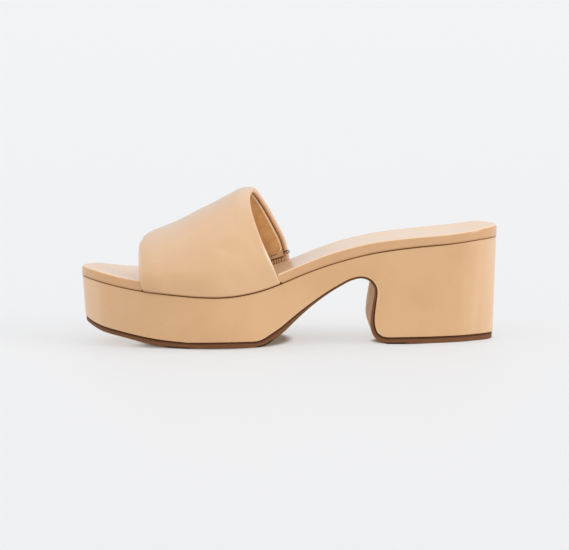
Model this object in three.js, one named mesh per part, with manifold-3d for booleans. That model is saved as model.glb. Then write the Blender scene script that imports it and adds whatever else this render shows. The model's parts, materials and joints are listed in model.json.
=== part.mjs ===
// Slide sandal for the right foot: one padded strap on a covered platform with a block heel.
// X runs from the heel to the toe, Y to the medial side and Z up, in millimetres.
// The origin is on the floor, under the middle of the sandal.

import * as THREE from 'three';
import { mergeVertices } from 'three/addons/utils/BufferGeometryUtils.js';
import Module from 'manifold-3d';

const wasm = await Module();
wasm.setup();

// Length and widths of the footbed seen from above
const soleLength = 248;
const ballWidth = 88;
const heelWidth = 59.4;

// Height of the seam between platform and footbed at the heel, the ball and the toe
const heelSeamHeight = 61.5;
const ballSeamHeight = 30;
const toeSeamHeight = 40;

// On the lateral side the seam has the same heights further back, as the ball of the foot does
const seamSkew = 9.5;

// Footbed
const footbedThickness = 6.5;
const footbedOverhang = 0.25;
const footbedEdgeRadius = 1.6;
const heelCupDepth = 1.4;

// Outsole, with the shape of the underside
const outsoleThickness = 3;
const outsoleSetback = 0.4;
const toeSpring = 15.4;
const archHeight = 39.5;
const ballFlatLength = 42;
const breastSkewRatio = 0.027;
const heelBlockLength = 75.5;
const heelCornerRun = 8;

// Strap
const instepHeight = 91.6;
const vampHeight = 64.6;
const strapWall = 4.4;
const strapBaseWall = 3.4;
const strapBulge = 1;
const strapRidgeShift = 4;

// Clearance that curved pieces keep from each other
const clearance = 0.3;

// The plan outline: each side as a share of the width there, against shares of the length from the heel
const outlineRows = [
  { at: 0, medial: 0, lateral: 0 },
  { at: 0.015, medial: 0.212, lateral: 0.212 },
  { at: 0.03, medial: 0.305, lateral: 0.305 },
  { at: 0.06, medial: 0.407, lateral: 0.407 },
  { at: 0.1, medial: 0.468, lateral: 0.468 },
  { at: 0.17, medial: 0.498, lateral: 0.498 },
  { at: 0.25, medial: 0.495, lateral: 0.505 },
  { at: 0.35, medial: 0.452, lateral: 0.502 },
  { at: 0.45, medial: 0.417, lateral: 0.482 },
  { at: 0.55, medial: 0.437, lateral: 0.476 },
  { at: 0.62, medial: 0.474, lateral: 0.497 },
  { at: 0.67, medial: 0.493, lateral: 0.5035 },
  { at: 0.73, medial: 0.5, lateral: 0.489 },
  { at: 0.8, medial: 0.487, lateral: 0.436 },
  { at: 0.86, medial: 0.445, lateral: 0.362 },
  { at: 0.9, medial: 0.402, lateral: 0.298 },
  { at: 0.93, medial: 0.358, lateral: 0.24 },
  { at: 0.96, medial: 0.306, lateral: 0.17 },
  { at: 0.98, medial: 0.235, lateral: 0.092 },
  { at: 0.99, medial: 0.184, lateral: 0.029 },
  { at: 1, medial: 0.075, lateral: -0.075 },
];

// The local width goes from the heel's to the ball's between these shares of the length
const heelWidthEndShare = 0.2;
const ballWidthStartShare = 0.62;

// The seam rises from the ball to the heel and to the toe, as shares of each rise.
// The last column is the thickness of the footbed's edge, as a share of its full thickness.
const seamRows = [
  { at: 0, heelRise: 1, toeRise: 0, edge: 1.1 },
  { at: 0.035, heelRise: 0.998, toeRise: 0, edge: 1.06 },
  { at: 0.073, heelRise: 0.975, toeRise: 0, edge: 0.95 },
  { at: 0.122, heelRise: 0.932, toeRise: 0, edge: 0.95 },
  { at: 0.196, heelRise: 0.882, toeRise: 0, edge: 0.97 },
  { at: 0.272, heelRise: 0.812, toeRise: 0, edge: 1.02 },
  { at: 0.31, heelRise: 0.763, toeRise: 0, edge: 1.05 },
  { at: 0.386, heelRise: 0.62, toeRise: 0, edge: 1.06 },
  { at: 0.463, heelRise: 0.426, toeRise: 0, edge: 1 },
  { at: 0.527, heelRise: 0.234, toeRise: 0, edge: 0.98 },
  { at: 0.571, heelRise: 0.117, toeRise: 0, edge: 0.96 },
  { at: 0.61, heelRise: 0.051, toeRise: 0, edge: 0.95 },
  { at: 0.645, heelRise: 0.013, toeRise: 0, edge: 0.94 },
  { at: 0.682, heelRise: 0, toeRise: 0, edge: 0.93 },
  { at: 0.718, heelRise: 0, toeRise: 0.03, edge: 0.97 },
  { at: 0.766, heelRise: 0, toeRise: 0.13, edge: 0.97 },
  { at: 0.814, heelRise: 0, toeRise: 0.25, edge: 0.97 },
  { at: 0.863, heelRise: 0, toeRise: 0.39, edge: 0.97 },
  { at: 0.917, heelRise: 0, toeRise: 0.6, edge: 0.97 },
  { at: 0.966, heelRise: 0, toeRise: 0.85, edge: 0.97 },
  { at: 1, heelRise: 0, toeRise: 1, edge: 0.93 },
];

// Underside in front of the flat under the ball: shares of the run to the toe and of the toe spring.
// The last column of this table and of the next is the outsole's thickness, as a share of the full one.
const forepartRows = [
  { forward: 0, rise: 0, thickness: 1.25 },
  { forward: 0.22, rise: 0.06, thickness: 1.32 },
  { forward: 0.4, rise: 0.2, thickness: 1.1 },
  { forward: 0.59, rise: 0.37, thickness: 0.98 },
  { forward: 0.77, rise: 0.52, thickness: 0.98 },
  { forward: 0.87, rise: 0.66, thickness: 0.88 },
  { forward: 0.95, rise: 0.82, thickness: 0.72 },
  { forward: 1, rise: 0.95, thickness: 0.7 },
  { forward: 1.06, rise: 1.16, thickness: 0.7 },
];

// Underside from the flat under the ball, up the waist, round the arch and down the heel breast
const archRows = [
  { forward: 1, rise: 0, thickness: 1.2 },
  { forward: 0.939, rise: 0.027, thickness: 1.35 },
  { forward: 0.86, rise: 0.119, thickness: 1.28 },
  { forward: 0.778, rise: 0.227, thickness: 1 },
  { forward: 0.7, rise: 0.356, thickness: 0.8 },
  { forward: 0.641, rise: 0.45, thickness: 0.7 },
  { forward: 0.536, rise: 0.605, thickness: 0.5 },
  { forward: 0.397, rise: 0.779, thickness: 0.39 },
  { forward: 0.292, rise: 0.889, thickness: 0.35 },
  { forward: 0.204, rise: 0.967, thickness: 0.34 },
  { forward: 0.115, rise: 1, thickness: 0.32 },
  { forward: 0.045, rise: 0.96, thickness: 0.36 },
  { forward: 0.004, rise: 0.86, thickness: 0.45 },
  { forward: 0, rise: 0.78, thickness: 0.52 },
  { forward: 0.013, rise: 0.642, thickness: 0.62 },
  { forward: 0.0295, rise: 0.44, thickness: 0.7 },
  { forward: 0.033, rise: 0.286, thickness: 0.82 },
  { forward: 0.007, rise: 0.13, thickness: 0.95 },
  { forward: -0.05, rise: 0.032, thickness: 1.15 },
];

// How much the sides of the platform lean in towards the floor, in millimetres for each millimetre,
// against shares of the length: most at the rounded back of the heel
const leanRows = [
  { at: 0, lean: 0.029 },
  { at: 0.045, lean: 0.11 },
  { at: 0.075, lean: 0.108 },
  { at: 0.14, lean: 0.08 },
  { at: 0.19, lean: 0.048 },
  { at: 0.24, lean: 0.032 },
  { at: 0.665, lean: 0.045 },
  { at: 1, lean: 0.07 },
];

// The lateral side's skew grows and fades between these shares of the length
const skewRows = [
  { at: 0.03, skew: 0 },
  { at: 0.22, skew: 0.85 },
  { at: 0.34, skew: 0.85 },
  { at: 0.5, skew: 1 },
  { at: 0.7, skew: 0.9 },
  { at: 0.86, skew: 0.3 },
  { at: 0.98, skew: 0 },
];

// Where the ball meets the floor, as a share of the length from the heel
const ballShare = 0.665;

// Front and back edges of the strap on each side, as shares of the length from the heel, against
// shares of the strap's height there
const strapEdgeRows = [
  { up: 0, frontMedial: 0.858, frontLateral: 0.8145, backMedial: 0.523, backLateral: 0.493 },
  { up: 0.12, frontMedial: 0.861, frontLateral: 0.8175, backMedial: 0.538, backLateral: 0.494 },
  { up: 0.24, frontMedial: 0.8633, frontLateral: 0.82, backMedial: 0.5518, backLateral: 0.4985 },
  { up: 0.37, frontMedial: 0.8652, frontLateral: 0.8225, backMedial: 0.5658, backLateral: 0.507 },
  { up: 0.5, frontMedial: 0.8662, frontLateral: 0.8245, backMedial: 0.5775, backLateral: 0.519 },
  { up: 0.65, frontMedial: 0.8655, frontLateral: 0.8272, backMedial: 0.589, backLateral: 0.5355 },
  { up: 0.8, frontMedial: 0.8628, frontLateral: 0.831, backMedial: 0.5982, backLateral: 0.554 },
  { up: 0.9, frontMedial: 0.8585, frontLateral: 0.8345, backMedial: 0.6012, backLateral: 0.568 },
  { up: 0.96, frontMedial: 0.8545, frontLateral: 0.8405, backMedial: 0.5998, backLateral: 0.5785 },
  { up: 1, frontMedial: 0.8472, frontLateral: 0.8472, backMedial: 0.5915, backLateral: 0.5915 },
];

// Height of the strap's ridge from the front to the back, as shares of its rise
const ridgeRows = [
  { back: 0, lift: -0.05 },
  { back: 0.03, lift: 0 },
  { back: 0.08, lift: 0.053 },
  { back: 0.21, lift: 0.16 },
  { back: 0.32, lift: 0.26 },
  { back: 0.53, lift: 0.508 },
  { back: 0.75, lift: 0.757 },
  { back: 0.92, lift: 0.965 },
  { back: 1, lift: 1 },
];

// Roundness of the arch that the strap makes: 2 is an ellipse, and more is fuller
const strapFullness = 2.25;
const bulgeTopShare = 0.5;
const baseWallTopShare = 0.3;

// Thickness of the outsole under the heel, as a share of the full one
const heelOutsoleShare = 1.28;

// The footbed's top dips towards its middle, most of all at the heel: shares of its width that are
// joined up into rings, how much less the rings shorten, and the dip in front of the heel cup
const footbedTopRings = [0.82, 0.6, 0.3];
const footbedRingReach = 0.85;
const forefootDipShare = 0.4;
const cupFrontShare = 0.25;
const cupEndShare = 0.5;

// Numbers of steps in the meshes
const outlineSteps = 40;
const seamSteps = 48;
const splineSteps = 3;
const edgeSteps = 3;
const strapGirthSteps = 36;
const strapDepthSteps = 12;
const strapNoseSteps = 6;

const halfLength = soleLength / 2;
const strapCutDepth = 4;

function mix(a, b, share) {
  return a + (b - a) * share;
}

function ease(low, high, value) {
  const share = Math.min(1, Math.max(0, (value - low) / (high - low)));
  return share * share * (3 - 2 * share);
}

// A smooth curve through the rows of a table that adds no bumps of its own between them
function curveThrough(rows, across, up) {
  const xs = rows.map(across);
  const ys = rows.map(up);
  const slopes = xs.slice(1).map((x, i) => (ys[i + 1] - ys[i]) / (x - xs[i]));
  const tangents = xs.map((x, i) => {
    if (i === 0) return slopes[0];
    if (i === xs.length - 1) return slopes[i - 1];
    const before = slopes[i - 1];
    const after = slopes[i];
    return before * after <= 0 ? 0 : 2 * before * after / (before + after);
  });
  return (x) => {
    let i = 0;
    while (i < xs.length - 2 && x > xs[i + 1]) i += 1;
    const run = xs[i + 1] - xs[i];
    const t = Math.min(1, Math.max(0, (x - xs[i]) / run));
    const t2 = t * t;
    const t3 = t2 * t;
    return ys[i] * (2 * t3 - 3 * t2 + 1) + tangents[i] * run * (t3 - 2 * t2 + t)
      + ys[i + 1] * (3 * t2 - 2 * t3) + tangents[i + 1] * run * (t3 - t2);
  };
}

// The round ends of the outline become even when the length is measured as an angle of a half turn
function shareAngle(share) {
  return Math.acos(1 - 2 * Math.min(1, Math.max(0, share)));
}

const medialShare = curveThrough(outlineRows, (row) => shareAngle(row.at), (row) => row.medial);
const lateralShare = curveThrough(outlineRows, (row) => shareAngle(row.at), (row) => row.lateral);
const heelRise = curveThrough(seamRows, (row) => row.at, (row) => row.heelRise);
const toeRise = curveThrough(seamRows, (row) => row.at, (row) => row.toeRise);
const edgeShare = curveThrough(seamRows, (row) => row.at, (row) => row.edge);
const leanAt = curveThrough(leanRows, (row) => row.at, (row) => row.lean);
const skewShare = curveThrough(skewRows, (row) => row.at, (row) => row.skew);
const ridgeLift = curveThrough(ridgeRows, (row) => row.back, (row) => row.lift);
const strapEdge = {};
for (const edge of ['frontMedial', 'frontLateral', 'backMedial', 'backLateral']) {
  strapEdge[edge] = curveThrough(strapEdgeRows, (row) => row.up, (row) => row[edge]);
}

function shareOfLength(x) {
  return (x + halfLength) / soleLength;
}

function xAtShare(share) {
  return share * soleLength - halfLength;
}

function sideY(share, side) {
  const width = mix(heelWidth, ballWidth, ease(heelWidthEndShare, ballWidthStartShare, share));
  const angle = shareAngle(share);
  return width * (side === 'medial' ? medialShare(angle) : -lateralShare(angle));
}

function medialSeamHeight(x) {
  const share = shareOfLength(x);
  return ballSeamHeight + heelRise(share) * (heelSeamHeight - ballSeamHeight)
    + toeRise(share) * (toeSeamHeight - ballSeamHeight);
}

// The seam's surface twists from the medial height to the lateral one across the width of the heel
function seamHeight(x, y) {
  const lateral = medialSeamHeight(x + seamSkew * skewShare(shareOfLength(x)));
  const across = Math.min(1, Math.max(0, 0.5 - y / heelWidth));
  return mix(medialSeamHeight(x), lateral, across);
}

// Plan outline of the footbed as a ring: the heel, the medial side, the toe and the lateral side
function planOutline() {
  const shares = [];
  for (let i = 0; i <= outlineSteps; i += 1) shares.push((1 - Math.cos(Math.PI * i / outlineSteps)) / 2);
  const medial = shares.map((share) => new THREE.Vector2(xAtShare(share), sideY(share, 'medial')));
  const inner = shares.slice(1, -1).reverse();
  const lateral = inner.map((share) => new THREE.Vector2(xAtShare(share), sideY(share, 'lateral')));
  return medial.concat(lateral);
}

// The same ring moved inwards, square to its own line, by a distance that may change along it
function insetOutline(ring, distanceAt) {
  const count = ring.length;
  return ring.map((point, i) => {
    const along = ring[(i + 1) % count].clone().sub(ring[(i + count - 1) % count]).normalize();
    const inward = new THREE.Vector2(along.y, -along.x);
    return point.clone().addScaledVector(inward, distanceAt(point));
  });
}

// Two triangles for each step between neighbouring rings, and a ladder of rungs over each end ring
function geometryFromRings(rings) {
  const count = rings[0].length;
  const positions = rings.flat().flatMap((point) => [point.x, point.y, point.z]);
  const indices = [];
  for (let r = 0; r + 1 < rings.length; r += 1) {
    for (let i = 0; i < count; i += 1) {
      const a = r * count + i;
      const b = r * count + (i + 1) % count;
      indices.push(a, b, b + count, a, b + count, a + count);
    }
  }
  const last = (rings.length - 1) * count;
  for (let i = 0; i < count / 2; i += 1) {
    const left = i;
    const right = (count - i) % count;
    const nextLeft = i + 1;
    const nextRight = count - i - 1;
    if (left !== right) {
      indices.push(left, right, nextRight);
      indices.push(last + left, last + nextRight, last + right);
    }
    if (nextLeft !== nextRight) {
      indices.push(left, nextRight, nextLeft);
      indices.push(last + left, last + nextLeft, last + nextRight);
    }
  }
  const geometry = new THREE.BufferGeometry();
  geometry.setAttribute('position', new THREE.Float32BufferAttribute(positions, 3));
  geometry.setIndex(indices);
  return turnedOutwards(geometry);
}

// Six times the volume that the triangles enclose: it is negative when they face inwards
function signedVolume(geometry) {
  const position = geometry.attributes.position;
  const index = geometry.index;
  const corner = (i) => new THREE.Vector3().fromBufferAttribute(position, index.getX(i));
  let volume = 0;
  for (let i = 0; i < index.count; i += 3) volume += corner(i).dot(corner(i + 1).cross(corner(i + 2)));
  return volume;
}

function turnedOutwards(geometry) {
  if (signedVolume(geometry) < 0) {
    const index = geometry.index;
    for (let i = 0; i < index.count; i += 3) {
      const second = index.getX(i + 1);
      index.setX(i + 1, index.getX(i + 2));
      index.setX(i + 2, second);
    }
  }
  return geometry;
}

function toSolid(geometry) {
  const bare = geometry.clone();
  bare.deleteAttribute('normal');
  bare.deleteAttribute('uv');
  const merged = mergeVertices(bare, 1e-4);
  return new wasm.Manifold(new wasm.Mesh({
    numProp: 3,
    vertProperties: new Float32Array(merged.attributes.position.array),
    triVerts: new Uint32Array(merged.index.array),
  }));
}

function fromSolid(solid) {
  const mesh = solid.getMesh();
  const geometry = new THREE.BufferGeometry();
  geometry.setAttribute('position', new THREE.BufferAttribute(mesh.vertProperties, 3));
  geometry.setIndex(new THREE.BufferAttribute(mesh.triVerts, 1));
  return geometry;
}

// A side view outline drawn in X and Z, made into a block that is wider than the sandal.
// With a skew its lateral side lies further back than its medial side.
function sideBlock(points, skew) {
  const depth = ballWidth * 2;
  const block = new THREE.ExtrudeGeometry(new THREE.Shape(points), { depth, bevelEnabled: false });
  block.rotateX(Math.PI / 2);
  block.translate(0, depth / 2 - heelWidth / 2, 0);
  block.applyMatrix4(new THREE.Matrix4().makeShear(0, 0, skew, 0, 0, 0));
  block.translate(0, heelWidth / 2, 0);
  return toSolid(block);
}

// An upright block with the plan outline, set back from the footbed's edge and leaning in downwards
function leaningBlock(setback) {
  const outline = planOutline();
  const levels = [-footbedThickness, heelSeamHeight + footbedThickness];
  const rings = levels.map((level) => {
    const distance = (point) => {
      const drop = seamHeight(point.x, point.y) - level;
      return setback + leanAt(shareOfLength(point.x)) * drop;
    };
    return insetOutline(outline, distance).map((point) => new THREE.Vector3(point.x, point.y, level));
  });
  return toSolid(geometryFromRings(rings));
}

// Points of the underside from the toe to the back of the heel, each with the outsole's thickness there
function undersidePoints() {
  const ballCentre = xAtShare(ballShare);
  const ballFront = ballCentre + ballFlatLength / 2;
  const ballBack = ballCentre - ballFlatLength / 2;
  const breast = heelBlockLength - halfLength;
  const heelFront = breast - heelCornerRun;
  const stretch = (rows, start, end, height) => {
    const controls = rows.map((row) => new THREE.Vector3(
      mix(start, end, row.forward), row.rise * height, row.thickness * outsoleThickness));
    const curve = new THREE.CatmullRomCurve3(controls, false, 'centripetal');
    return curve.getPoints((rows.length - 1) * splineSteps);
  };
  const forepart = stretch(forepartRows, ballFront, halfLength, toeSpring).reverse();
  const arch = stretch(archRows, breast, ballBack, archHeight);
  const heelThickness = heelOutsoleShare * outsoleThickness;
  const heel = [
    new THREE.Vector3(heelFront, 0, heelThickness),
    new THREE.Vector3(-halfLength - footbedThickness, 0, heelThickness),
  ];
  return forepart.concat(arch, heel);
}

// The underside moved up into the sandal, square to itself, by the outsole's thickness and a clearance
function raisedUnderside(points, extra) {
  return points.map((point, i) => {
    const before = points[Math.max(0, i - 1)];
    const after = points[Math.min(points.length - 1, i + 1)];
    const along = new THREE.Vector2(after.x - before.x, after.y - before.y).normalize();
    const distance = point.z + extra;
    return new THREE.Vector2(point.x + along.y * distance, point.y - along.x * distance);
  });
}

function outsoleGeometry() {
  const underside = undersidePoints();
  const lower = underside.map((point) => new THREE.Vector2(point.x, point.y));
  const upper = raisedUnderside(underside, 0).reverse();
  const plan = leaningBlock(footbedOverhang + outsoleSetback);
  return fromSolid(sideBlock(lower.concat(upper), breastSkewRatio).intersect(plan));
}

// A block under the seam's surface, wider and longer than the sandal
function seamBlock() {
  const xs = [-soleLength];
  for (let i = 0; i <= seamSteps; i += 1) xs.push(mix(-halfLength, halfLength, i / seamSteps));
  xs.push(soleLength);
  const backwards = [...xs].reverse();
  const rings = [ballWidth, heelWidth / 2, -heelWidth / 2, -ballWidth].map((y) => [
    ...xs.map((x) => new THREE.Vector3(x, y, seamHeight(x, y))),
    ...backwards.map((x) => new THREE.Vector3(x, y, -instepHeight)),
  ]);
  return toSolid(geometryFromRings(rings));
}

function platformGeometry() {
  const lower = raisedUnderside(undersidePoints(), clearance);
  const above = [-halfLength - footbedThickness, soleLength].map((x) => new THREE.Vector2(x, instepHeight));
  const overSole = sideBlock(lower.concat(above), breastSkewRatio);
  return fromSolid(overSole.intersect(seamBlock()).intersect(leaningBlock(footbedOverhang)));
}

// Footbed rings from the seam up the side, over the round edge and in towards the middle of the top
function footbedGeometry() {
  const outline = planOutline();
  const centre = (point) => {
    const share = shareOfLength(point.x);
    return (sideY(share, 'medial') + sideY(share, 'lateral')) / 2;
  };
  const bottom = (point) => seamHeight(point.x, point.y) + clearance;
  const thickness = (point) => footbedThickness * edgeShare(shareOfLength(point.x));
  const top = (point) => seamHeight(point.x, point.y) + thickness(point);
  const rings = [outline.map((point) => new THREE.Vector3(point.x, point.y, bottom(point)))];
  for (let i = 0; i <= edgeSteps; i += 1) {
    const angle = Math.PI / 2 * i / edgeSteps;
    const inset = footbedEdgeRadius * (1 - Math.cos(angle));
    const drop = footbedEdgeRadius * (1 - Math.sin(angle));
    const ring = insetOutline(outline, () => inset);
    rings.push(ring.map((point) => new THREE.Vector3(point.x, point.y, top(point) - drop)));
  }
  const edge = insetOutline(outline, () => footbedEdgeRadius);
  for (const share of footbedTopRings) {
    const dip = (1 - share * share) * heelCupDepth;
    const lengthShare = mix(share, 1, footbedRingReach);
    rings.push(edge.map((point) => {
      const cup = dip * mix(1, forefootDipShare, ease(cupFrontShare, cupEndShare, shareOfLength(point.x)));
      const x = point.x * lengthShare;
      const y = centre({ x }) + (point.y - centre(point)) * share;
      return new THREE.Vector3(x, y, top({ x, y }) - cup);
    }));
  }
  return fromSolid(toSolid(geometryFromRings(rings)).subtract(toSolid(strapCutter())));
}

// Middle of the strap's wall: depth goes from its front edge to its back, and girth from the medial
// base over the instep to the lateral base
function strapMiddle(depth, girth) {
  const angle = Math.PI * girth;
  const cosine = Math.cos(angle);
  const power = 2 / strapFullness;
  const out = Math.sign(cosine) * Math.abs(cosine) ** power;
  const up = Math.max(0, Math.sin(angle)) ** power;
  const side = cosine > 0 ? 'medial' : 'lateral';
  const front = cosine > 0 ? strapEdge.frontMedial : strapEdge.frontLateral;
  const back = cosine > 0 ? strapEdge.backMedial : strapEdge.backLateral;
  const half = strapBaseWall / 2;
  const xAt = (height) => mix(xAtShare(front(height)) - half, xAtShare(back(height)) + half, depth);
  const baseX = xAt(0);
  const baseY = sideY(shareOfLength(baseX), side);
  const baseZ = seamHeight(baseX, baseY) + clearance;
  const ridgeZ = mix(vampHeight, instepHeight, ridgeLift(depth)) - strapWall / 2;
  const bulge = strapBulge * Math.sin(Math.PI * Math.min(1, up / bulgeTopShare));
  const halfWidth = Math.abs(baseY) - half;
  return new THREE.Vector3(
    xAt(up),
    out * (halfWidth + bulge) + strapRidgeShift * up * up,
    mix(baseZ, ridgeZ, up),
  );
}

function strapDirections(depth, girth) {
  const step = 1e-3;
  const between = (a, b) => b.clone().sub(a).normalize();
  const around = between(
    strapMiddle(depth, Math.max(0, girth - step)), strapMiddle(depth, Math.min(1, girth + step)));
  const backwards = between(
    strapMiddle(Math.max(0, depth - step), girth), strapMiddle(Math.min(1, depth + step), girth));
  const outwards = backwards.clone().cross(around).normalize();
  const past = around.clone().cross(outwards).normalize();
  return { outwards, past };
}

function strapWallAt(girth) {
  const rise = Math.sin(Math.PI * girth);
  return mix(strapBaseWall, strapWall, ease(0, baseWallTopShare, rise));
}

// One loop round the wall: the front nose, the outer face, the back nose and the inner face
function strapLoop(girth, grow) {
  const half = strapWallAt(girth) / 2 + grow;
  const loop = [];
  const place = (depth, turn, sign) => {
    const { outwards, past } = strapDirections(depth, girth);
    const point = strapMiddle(depth, girth);
    point.addScaledVector(outwards, half * Math.cos(turn));
    point.addScaledVector(past, half * Math.sin(turn) * sign);
    loop.push(point);
  };
  const halfNose = strapNoseSteps / 2;
  for (let i = halfNose; i > 0; i -= 1) place(0, Math.PI * i / strapNoseSteps, -1);
  for (let i = 0; i <= strapDepthSteps; i += 1) place(i / strapDepthSteps, 0, 1);
  for (let i = 1; i < strapNoseSteps; i += 1) place(1, Math.PI * i / strapNoseSteps, 1);
  for (let i = strapDepthSteps; i >= 0; i -= 1) place(i / strapDepthSteps, Math.PI, 1);
  for (let i = strapNoseSteps - 1; i > halfNose; i -= 1) place(0, Math.PI * i / strapNoseSteps, -1);
  return loop;
}

// The strap stands on the platform at both ends
function strapRings(grow) {
  const rings = [];
  for (let i = 0; i <= strapGirthSteps; i += 1) rings.push(strapLoop(i / strapGirthSteps, grow));
  for (const loop of [rings[0], rings[strapGirthSteps]]) {
    for (const point of loop) point.z = seamHeight(point.x, point.y) + clearance;
  }
  return rings;
}

// A copy of the strap, grown by the clearance and with longer ends, cuts its seat in the footbed
function strapCutter() {
  const rings = strapRings(clearance);
  const down = new THREE.Vector3(0, 0, -strapCutDepth);
  const lowered = (ring) => ring.map((point) => point.clone().add(down));
  return geometryFromRings([lowered(rings[0]), ...rings, lowered(rings[strapGirthSteps])]);
}

function piece(name, geometry, color, roughness) {
  geometry.computeVertexNormals();
  const material = new THREE.MeshStandardMaterial({ color, roughness, metalness: 0, flatShading: true });
  const mesh = new THREE.Mesh(geometry, material);
  mesh.name = name;
  return mesh;
}

const sandal = new THREE.Group();
sandal.add(piece('upper', geometryFromRings(strapRings(0)), 0xe3be99, 0.42));
sandal.add(piece('footbed', footbedGeometry(), 0xedd8c8, 0.55));
sandal.add(piece('platform_heel', platformGeometry(), 0xd6ac82, 0.45));
sandal.add(piece('outsole', outsoleGeometry(), 0x7d5333, 0.6));

export default sandal;
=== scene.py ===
# %% [markdown]
# # A slide sandal in leather
# The real sandal has one broad padded strap, a thin padded footbed, a platform with a block heel that is
# covered in the same leather, and a thin brown outsole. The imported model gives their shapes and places.
# This lesson loads it as a fixed frame, models finer pieces over it, and gives each its finish.

# %% Load the packed sandal
import json
import math

import bpy
import numpy as np
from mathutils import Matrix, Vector

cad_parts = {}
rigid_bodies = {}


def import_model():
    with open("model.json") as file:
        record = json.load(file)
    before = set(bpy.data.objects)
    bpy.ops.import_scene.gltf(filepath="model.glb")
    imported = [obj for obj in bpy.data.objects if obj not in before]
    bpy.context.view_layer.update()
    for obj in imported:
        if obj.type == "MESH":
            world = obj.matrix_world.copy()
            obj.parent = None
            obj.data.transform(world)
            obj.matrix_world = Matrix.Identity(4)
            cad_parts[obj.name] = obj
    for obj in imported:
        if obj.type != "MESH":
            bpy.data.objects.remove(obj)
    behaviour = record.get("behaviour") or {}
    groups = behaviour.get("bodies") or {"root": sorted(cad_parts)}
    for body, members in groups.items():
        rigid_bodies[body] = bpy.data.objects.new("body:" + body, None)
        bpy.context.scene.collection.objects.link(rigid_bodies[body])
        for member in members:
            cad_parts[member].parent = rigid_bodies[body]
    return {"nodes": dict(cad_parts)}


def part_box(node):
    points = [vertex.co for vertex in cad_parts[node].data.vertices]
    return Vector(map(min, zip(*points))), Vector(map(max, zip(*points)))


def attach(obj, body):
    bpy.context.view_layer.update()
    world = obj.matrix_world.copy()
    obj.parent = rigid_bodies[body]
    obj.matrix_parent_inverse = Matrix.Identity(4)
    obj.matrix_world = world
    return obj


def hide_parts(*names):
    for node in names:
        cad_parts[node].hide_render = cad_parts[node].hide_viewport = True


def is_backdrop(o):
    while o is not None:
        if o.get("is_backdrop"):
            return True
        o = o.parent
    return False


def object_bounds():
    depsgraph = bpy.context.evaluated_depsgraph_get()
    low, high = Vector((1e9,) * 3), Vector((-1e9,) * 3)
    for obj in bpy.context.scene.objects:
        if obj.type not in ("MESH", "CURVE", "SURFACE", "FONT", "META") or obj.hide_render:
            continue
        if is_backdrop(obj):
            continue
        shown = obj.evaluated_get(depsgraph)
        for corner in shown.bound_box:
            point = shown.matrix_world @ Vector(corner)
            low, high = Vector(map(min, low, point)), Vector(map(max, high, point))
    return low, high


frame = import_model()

cad_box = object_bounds()
print("frame nodes:", ", ".join(sorted(frame["nodes"])))

# %% [markdown]
# ## Sizes
# A shoemaker starts from the last, the solid foot that a shoe is made on. Here the last is a few tables:
# the outline seen from above, the height of the seam along the side, and the edges of the strap. They
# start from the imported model's own numbers, and a few are refined by up to two millimetres after a look
# at the photo, so that each new piece lies closely over the node that it replaces.

# %% Sizes in metres
mm = 0.001
footbed_low, footbed_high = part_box("footbed")
sole_length = footbed_high.x - footbed_low.x
half_length = sole_length / 2
ball_width = 88 * mm
heel_width = 59.4 * mm
heel_seam, ball_seam, toe_seam = 61.5 * mm, 30 * mm, 40 * mm
footbed_thickness = 6.5 * mm
footbed_overhang = 0.25 * mm
rim_radius = 1.4 * mm
seam_skew = 9.5 * mm
clearance = 0.3 * mm
strap_wall, strap_base_wall = 4.4 * mm, 3.4 * mm
ridge_front, ridge_back = 64.6 * mm, 91.6 * mm
side_bulge, instep_lean = 1 * mm, 4 * mm
arch_power = 2.25
toe_spring, arch_height = 15.4 * mm, 39.5 * mm
outsole_thickness = 3 * mm
sideways_lag = 0.027
print(f"sole {sole_length / mm:.1f} mm long, {ball_width / mm:.0f} mm wide at the ball")

# %% Tables of the last
# Share of the length from the heel, then the medial and lateral sides as shares of the width there
outline_rows = [
    (0, 0, 0), (0.015, 0.212, 0.212), (0.03, 0.305, 0.305), (0.06, 0.407, 0.407), (0.1, 0.468, 0.468),
    (0.17, 0.498, 0.498), (0.25, 0.495, 0.505), (0.35, 0.452, 0.502), (0.45, 0.417, 0.482),
    (0.55, 0.437, 0.476), (0.62, 0.474, 0.497), (0.67, 0.493, 0.5035), (0.73, 0.5, 0.489),
    (0.8, 0.487, 0.436), (0.86, 0.445, 0.362), (0.9, 0.402, 0.298), (0.93, 0.358, 0.24),
    (0.96, 0.306, 0.17), (0.98, 0.235, 0.092), (0.99, 0.184, 0.029), (1, 0.075, -0.075)]
# Share of the length, rise of the seam to the heel, rise to the toe, thickness of the footbed's edge
seam_rows = [
    (0, 1, 0, 1.1), (0.035, 0.998, 0, 1.06), (0.073, 0.975, 0, 0.95), (0.122, 0.932, 0, 0.95),
    (0.196, 0.882, 0, 0.97), (0.272, 0.812, 0, 1.02), (0.31, 0.763, 0, 1.05), (0.386, 0.62, 0, 1.06),
    (0.463, 0.426, 0, 1), (0.527, 0.234, 0, 0.98), (0.571, 0.117, 0, 0.96), (0.61, 0.051, 0, 0.95),
    (0.645, 0.013, 0, 0.94), (0.682, 0, 0, 0.93), (0.718, 0, 0.03, 0.97), (0.766, 0, 0.13, 0.97),
    (0.814, 0, 0.25, 0.97), (0.863, 0, 0.39, 0.97), (0.917, 0, 0.6, 0.97), (0.966, 0, 0.85, 0.97),
    (1, 0, 1, 0.93)]
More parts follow.
